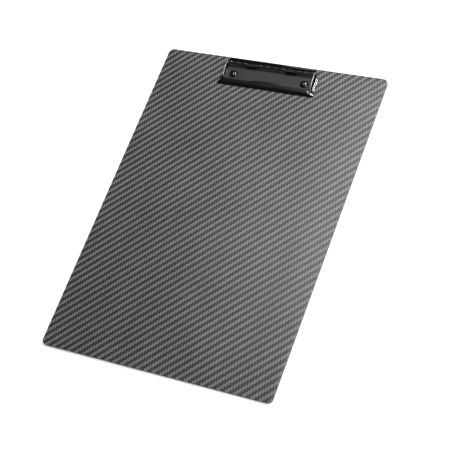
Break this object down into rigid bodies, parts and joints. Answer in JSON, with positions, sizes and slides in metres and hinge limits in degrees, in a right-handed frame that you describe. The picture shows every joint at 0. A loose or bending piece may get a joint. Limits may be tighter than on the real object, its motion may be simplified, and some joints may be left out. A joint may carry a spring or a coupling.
{
  "type": "clipboard",
  "caption": "Stiff flat rounded-corner clipboard with a low sprung steel lever clip riveted near one short edge.",
  "frame": {"origin": "centre of the board's back face", "axes": "+Y along the board towards the clip end, +Z out of the writing face, +X to the right seen from the front"},
  "size_m": [0.225, 0.318, 0.0095],
  "materials": {
    "woven_board": "woven 2x2 twill fibre laminate, satin",
    "satin_black_steel": "satin black coat",
    "gloss_black_steel": "gloss black coat",
    "black_spring_wire": "blackened spring wire"
  },
  "bodies": {
    "board_body": {"board": "woven_board", "base_plate": "satin_black_steel", "rivet_left": "gloss_black_steel", "rivet_right": "gloss_black_steel", "hinge_pin": "gloss_black_steel", "spring_left": "black_spring_wire", "spring_right": "black_spring_wire"},
    "lever_body": {"lever": "gloss_black_steel"}
  },
  "joints": [
    {"name": "lever_hinge", "type": "hinge", "parent": "board_body", "child": "lever_body", "pos_m": [0, 0.1498, 0.0066], "axis": [-1, 0, 0], "range_deg": [0, 30], "stiffness_Nm_per_rad": 0.08, "springref_deg": -80.21, "deforming": ["spring_left", "spring_right"]}
  ]
}
